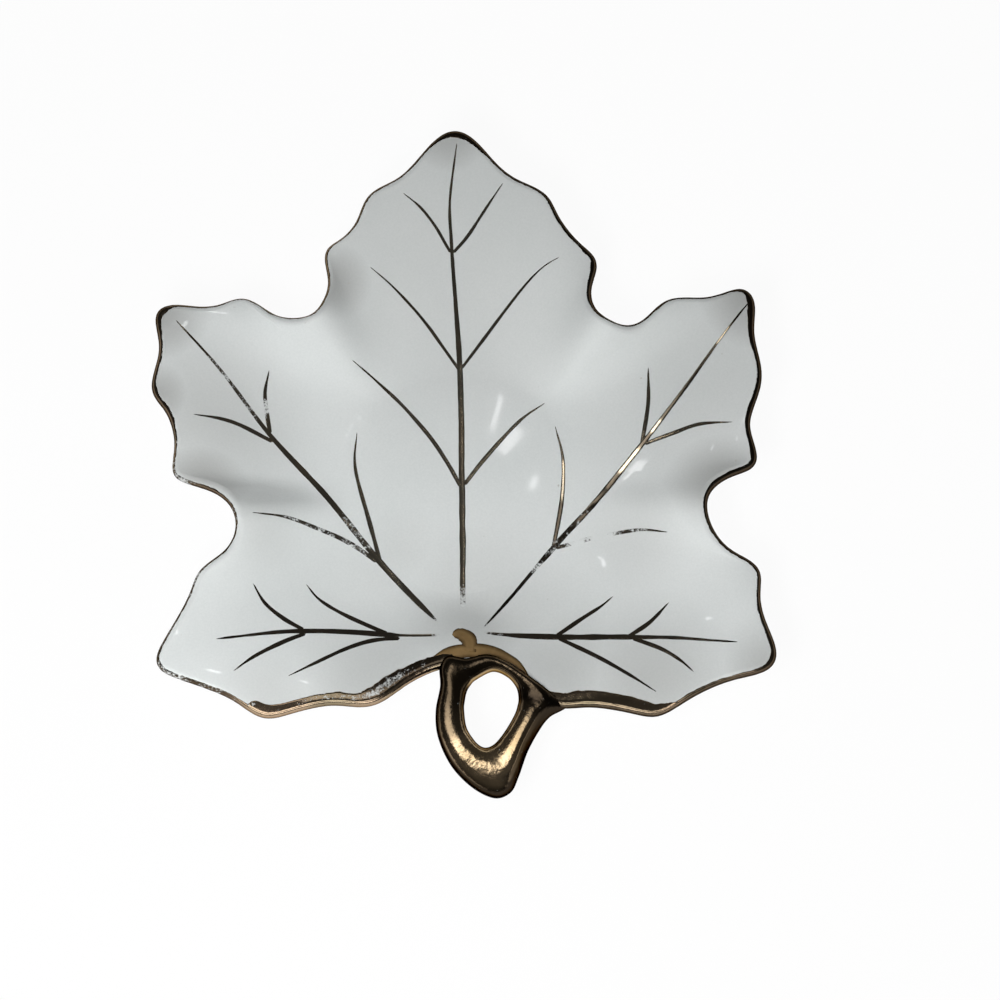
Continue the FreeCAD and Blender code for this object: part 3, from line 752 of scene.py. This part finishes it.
def add_band(name, node, edge, wear, dark, seed):
    def upper(degrees, step):
        uneven = RIM_UNEVEN * waver(step * RIM_STEP / RIM_UNEVEN_STEP, seed)
        return min(between(edge, degrees) * MM + uneven, BAND_LAP - RIM_UNEVEN)

    def paint_at(station, share):
        gone = between(wear, station[0]) * between(KEPT_EDGE, share)
        # Painted shade darkens the band by direction.
        return gone, between(dark, station[0]), abs(2 * share - 1)

    add_lip_film(name, node, edge[0][0], edge[-1][0], upper, BAND_LAP, paint_at)


add_band("front_band_right_gilding", "front_band_right", RIGHT_BAND, RIGHT_WEAR, RIGHT_DARK, RIGHT_SEED)
add_band("front_band_left_gilding", "front_band_left", LEFT_BAND, LEFT_WEAR, LEFT_DARK, LEFT_SEED)


# Handle: a looped stem, given by matching points on its hole and its outside in hundredths of the leaf,
# round from its arch, and by where its crest lies between them. A crease follows the crest on the right.
HANDLE = (
    ((5.4, -33.8), (4.6, -31.0), 0.5), ((2.7, -35.2), (1.1, -31.6), 0.5),
    ((1.8, -36.2), (-2.0, -31.2), 0.5), ((1.2, -37.4), (-3.2, -33.2), 0.5),
    ((0.9, -39.0), (-3.1, -36.4), 0.5), ((0.8, -40.5), (-3.8, -40.8), 0.5),
    ((1.2, -43.5), (-3.4, -45.2), 0.5), ((2.4, -45.7), (-1.3, -50.0), 0.5),
    ((3.5, -46.8), (2.1, -53.7), 0.5), ((4.5, -47.0), (5.7, -55.5), 0.52),
    ((5.6, -46.4), (8.3, -54.5), 0.66), ((6.7, -45.1), (9.6, -51.7), 0.7),
    ((7.9, -43.2), (11.0, -47.6), 0.7), ((8.9, -41.2), (12.9, -43.9), 0.68),
    ((9.3, -39.9), (14.6, -41.6), 0.64), ((9.5, -38.4), (17.4, -39.6), 0.6),
    ((9.1, -36.5), (14.4, -37.2), 0.6), ((7.7, -34.7), (8.6, -32.8), 0.5),
)
HANDLE_STEPS = 12
SECTION_POINTS = 32
ARCH_HEIGHT = 4.8 * MM
LUMP_HEIGHT = 6.2 * MM
HANDLE_LEVEL = 9.25 * MM
HANDLE_LIFT = 1.0 * MM
FLANK_POWER = 0.75
FLATNESS = 2.4

# Along the handle, counted in its points: how sharp the crease is, how much painted shade darkens the gold,
# and how much of that the wall of its hole keeps. By height: painted shade on the flanks towards the
# outside and the hole, where the gold would mirror the pale floor.
CREASE = ((0, 0), (9.2, 0), (10.5, 0.9), (15.0, 1), (16.2, 0), (18, 0))
ARCH_DARK = (
    (0, 0.92), (1, 0.97), (2, 0.92), (4.5, 0.9), (6, 0.75), (6.8, 0.15), (7.5, 0), (10.5, 0), (11.5, 0.1),
    (12.5, 0.5), (14, 0.85), (15, 1), (15.7, 0.97), (16.4, 0.86), (17.3, 0.8), (18, 0.92),
)
ARCH_WALL = ((0, 0), (1.5, 0), (3, 1), (15.5, 1), (17, 0), (18, 0))
OUTER_DARK = ((0.68, 1.0), (0.9, 0.0))
INNER_DARK = ((0.4, 0.9), (0.85, 0.0))
WALL_TOP = 0.6
FLANK_TOP = 0.96


def add_handle():
    count = len(HANDLE)
    holes = smooth_line([on_leaf(hole) for hole, outside, crest in HANDLE], closed=True)
    outsides = smooth_line([on_leaf(outside) for hole, outside, crest in HANDLE], closed=True)
    crests = smooth_line([Vector((crest, 0, 0)) for hole, outside, crest in HANDLE], closed=True)
    steps = HANDLE_STEPS * count
    every = FINE // HANDLE_STEPS

    def section(step, turn):
        """Share of the way from the hole to the outside, and height in shares of half the thickness."""
        crest = crests[step * every].x
        sharp = between(CREASE, step / HANDLE_STEPS)
        angle = 2 * math.pi * turn / SECTION_POINTS
        out = -math.cos(angle)
        round_height = (1 - abs(out) ** FLATNESS) ** (1 / FLATNESS)
        if math.sin(angle) < 0:
            return (1 + out) / 2, -round_height
        if out <= 0:
            return crest * (1 + out), round_height
        height = round_height * (1 - sharp) + sharp * (1 - out) ** FLANK_POWER
        return crest + (1 - crest) * out, height

    def place(step, turn):
        swell = math.sin(math.pi * step / steps) ** 2
        across, up = section(step, turn)
        middle = holes[step * every].lerp(outsides[step * every], across)
        half = (ARCH_HEIGHT + (LUMP_HEIGHT - ARCH_HEIGHT) * swell) / 2
        return middle + Vector((0, 0, HANDLE_LEVEL + HANDLE_LIFT * swell + half * up))

    def paint(step, turn):
        across, up = section(step, turn)
        sharp = between(CREASE, step / HANDLE_STEPS)
        crest = crests[step * every].x
        # Painted shade on the steep flank beyond the crease.
        flank = sharp if across > crest and up < FLANK_TOP else 0.0
        low = between(OUTER_DARK if across > crest else INNER_DARK, up)
        # Painted shade: the darkest of the flank, the height and the place along the handle.
        dark = max(flank, low, between(ARCH_DARK, step / HANDLE_STEPS))
        if across < crest and up < WALL_TOP:
            dark *= between(ARCH_WALL, step / HANDLE_STEPS)
        return FRESH, dark, 0

    add_skin("loop_handle_gilded", steps, SECTION_POINTS, place, paint, handle_gold, ("loop_handle",),
             closed=True)


add_handle()


# Amber wash behind the arch of the handle, and the dab at the hub of the veins, by pixel.
WASH = ((431, 660), (447, 654), (465, 651), (487, 652), (508, 660), (521, 670), (531, 682))
WASH_WIDTH = 3.8 * MM
WASH_SWELL = ((0.0, 0.3), (0.2, 0.85), (0.5, 1.0), (0.75, 0.75), (1.0, 0.2))
HUB_DAB = ((452, 635), (460, 634), (468, 638), (470, 645), (469, 653))
DAB_WIDTH = 3.8 * MM
DAB_SWELL = ((0.0, 0.4), (0.25, 0.8), (0.55, 1.0), (1.0, 0.85))
WASH_SEED, DAB_SEED = 120, 130
add_stroke("stem_wash", WASH, WASH_WIDTH, WASH_SWELL, WASH_SEED, wash)
add_stroke("hub_dab", HUB_DAB, DAB_WIDTH, DAB_SWELL, DAB_SEED, wash)


# Floor and backdrop.
MATT_WHITE = (0.9, 0.9, 0.9, 1)
MATT = 0.8
FLOOR_SIZE = 10.0
FLOOR_GLOW = 0.95
BACKDROP_RADIUS = 4.9
BACKDROP_HEIGHT = 0.9
BACKDROP_GLOW = 1.0
BACKDROP_SIDES = 96


def white_material(name, glow):
    """Matt white that glows where it is looked at, straight or in a reflection, and lights nothing."""
    made, tree, shader = material(name)
    set_shader(tree, shader, base_color=MATT_WHITE, roughness=MATT)
    path = add_node(tree, "LightPath")
    looked_at = maths(tree, "MAXIMUM", path.outputs["Is Camera Ray"], path.outputs["Is Glossy Ray"])
    looked_at = maths(tree, "MAXIMUM", looked_at, path.outputs["Is Transmission Ray"])
    light = add_node(tree, "Emission")
    mix = add_node(tree, "MixShader", {
        0: maths(tree, "MULTIPLY", looked_at, glow), 1: shader.outputs[0], 2: light.outputs[0]})
    tree.links.new(mix.outputs[0], tree.nodes["Material Output"].inputs["Surface"])
    return made


def add_stage(name, shape, glow):
    mesh = bpy.data.meshes.new(name)
    shape.to_mesh(mesh)
    shape.free()
    mesh.materials.append(white_material(name + "_white", glow))
    piece = bpy.data.objects.new(name, mesh)
    bpy.context.collection.objects.link(piece)


def add_floor():
    shape = bmesh.new()
    bmesh.ops.create_grid(shape, x_segments=1, y_segments=1, size=FLOOR_SIZE / 2)
    add_stage("floor", shape, FLOOR_GLOW)


def add_backdrop():
    """Low round wall far behind the dish on every side."""
    shape = bmesh.new()
    bmesh.ops.create_cone(shape, cap_ends=False, segments=BACKDROP_SIDES, radius1=BACKDROP_RADIUS,
                          radius2=BACKDROP_RADIUS, depth=BACKDROP_HEIGHT)
    bmesh.ops.translate(shape, verts=shape.verts, vec=(0, 0, BACKDROP_HEIGHT / 2))
    add_stage("backdrop", shape, BACKDROP_GLOW)


add_floor()
add_backdrop()


# Light.
def add_lamp(name, place, size_x, size_y, power, towards, turn=0.0):
    data = bpy.data.lights.new(name, "AREA")
    data.shape = "RECTANGLE"
    data.size = size_x
    data.size_y = size_y
    data.energy = power
    lamp = bpy.data.objects.new(name, data)
    bpy.context.collection.objects.link(lamp)
    lamp.location = place
    aim = (Vector(towards) - Vector(place)).to_track_quat("-Z", "Y").to_matrix()
    lamp.rotation_euler = aim.to_euler()
    lamp.rotation_euler.rotate_axis("Z", turn)
    lamp.visible_camera = False
    return lamp


# Soft lamps, which shade the porcelain and stay out of its reflections, with places and sizes in metres.
SOFT_LAMPS = (
    ("soft_front_left", (-0.08, -0.20, 0.30), 0.10, 0.58),
    ("soft_over_left", (-0.08, -0.12, 0.30), 0.10, 0.48),
    ("soft_low_right", (0.53, -0.53, 0.27), 0.2, 0.95),
)
SOFT_AIM = (0, 0, 8 * MM)


def add_soft_lamps():
    for name, place, size, power in SOFT_LAMPS:
        lamp = add_lamp(name, place, size, size, power, SOFT_AIM)
        lamp.visible_glossy = False


# Low lamps round the dish, for its foot and its underside.
LOW_LAMPS = 6
LOW_FAR = 0.22
LOW_LEVEL = 6 * MM
LOW_WIDE, LOW_HIGH = 0.12, 0.008
LOW_POWER = 0.06


def add_low_lamps():
    for number in range(LOW_LAMPS):
        angle = 2 * math.pi * number / LOW_LAMPS
        place = (LOW_FAR * math.cos(angle), LOW_FAR * math.sin(angle), LOW_LEVEL)
        lamp = add_lamp(f"low_lamp_{number}", place, LOW_WIDE, LOW_HIGH, LOW_POWER, (0, 0, LOW_LEVEL))
        lamp.visible_glossy = False


def add_shine(name, foot, normal, far, wide, long, radiance, turn=0.0):
    """Lamp seen only in reflections, set where a place mirrors it to the camera."""
    way = (foot - camera.location).normalized()
    way = way - normal * 2 * way.dot(normal)
    power = radiance * math.pi * wide * long
    lamp = add_lamp(name, foot + way * far, wide, long, power, foot, turn)
    lamp.visible_diffuse = False
    return lamp


# Small lamps overhead, by pixel of their glints on the glaze, with sizes in millimetres and their turn.
GLINTS = (
    ("glint_back", (497, 415), 3, 20, -0.25), ("glint_middle", (512, 443), 6, 16, -0.7),
    ("glint_front", (532, 482), 4, 7, -0.3), ("glint_right", (583, 480), 14, 40, -0.3),
    ("glint_far_right", (632, 470), 25, 60, -0.6), ("glint_left", (276, 361), 10, 10, 0),
    ("glint_left_tip", (186, 327), 26, 26, 0),
)
GLINT_FAR = 1.0
GLINT_RADIANCE = 6


def add_glints():
    for name, pixel, wide, long, turn in GLINTS:
        foot, normal = glaze_at(seen(pixel))
        add_shine(name, foot, normal, GLINT_FAR, wide * MM, long * MM, GLINT_RADIANCE, turn)


def keep_to(lamp, pieces):
    """Let a lamp light the named pieces only."""
    takers = bpy.data.collections.new(lamp.name)
    for piece in pieces:
        takers.objects.link(bpy.data.objects[piece])
    lamp.light_linking.receiver_collection = takers


# Broad lamps that only the thick gilding of the handle or of the lip takes up, by place and slope.
HANDLE_GILT = ("loop_handle_gilded",)
LIP_GILT = ("rim_line_gilding", "front_band_right_gilding", "front_band_left_gilding")
CREST = Vector((2.5, -56, 13)) * MM
FRONT_LIP = Vector((0, -45, 11)) * MM
SHEENS = (
    ("sheen_crest", HANDLE_GILT, CREST, (-0.13, 0.06, 1), 0.4, 0.28, 2.8),
    ("sheen_lip", LIP_GILT, FRONT_LIP, (0, -0.5, 1), 0.5, 0.34, 2.0),
)
SHEEN_FAR = 0.7


def add_sheens():
    for name, pieces, foot, slope, wide, long, radiance in SHEENS:
        normal = Vector(slope).normalized()
        keep_to(add_shine(name, foot, normal, SHEEN_FAR, wide, long, radiance), pieces)


# Lamps for the gleams, which only their own strokes take up, and one for the left front band.
GLEAM_SIZE = 0.12
GLEAM_RADIANCE = 2.2
BAND_GLEAM = (318, 697)
BAND_GLEAM_SIZE = 0.25
BAND_GLEAM_RADIANCE = 0.8


def add_gleam(name, pixel, size, radiance, piece):
    foot, normal = glaze_at(seen(pixel))
    keep_to(add_shine(name, foot, normal, SHEEN_FAR, size, size, radiance), (piece,))


def add_gleams():
    for node, gleams in GLEAMS.items():
        for number, (pixel, _) in enumerate(gleams):
            add_gleam(f"gleam_{node}_{number}", pixel, GLEAM_SIZE, GLEAM_RADIANCE, node + "_stroke")
    add_gleam("gleam_band", BAND_GLEAM, BAND_GLEAM_SIZE, BAND_GLEAM_RADIANCE, "front_band_left_gilding")


WORLD = (0.06, 0.06, 0.06, 1)


def add_world():
    world = bpy.data.worlds.new("room")
    world.use_nodes = True
    world.node_tree.nodes["Background"].inputs["Color"].default_value = WORLD
    bpy.context.scene.world = world


add_soft_lamps()
add_low_lamps()
add_glints()
add_sheens()
add_gleams()
add_world()
bpy.context.scene.view_settings.view_transform = "Standard"
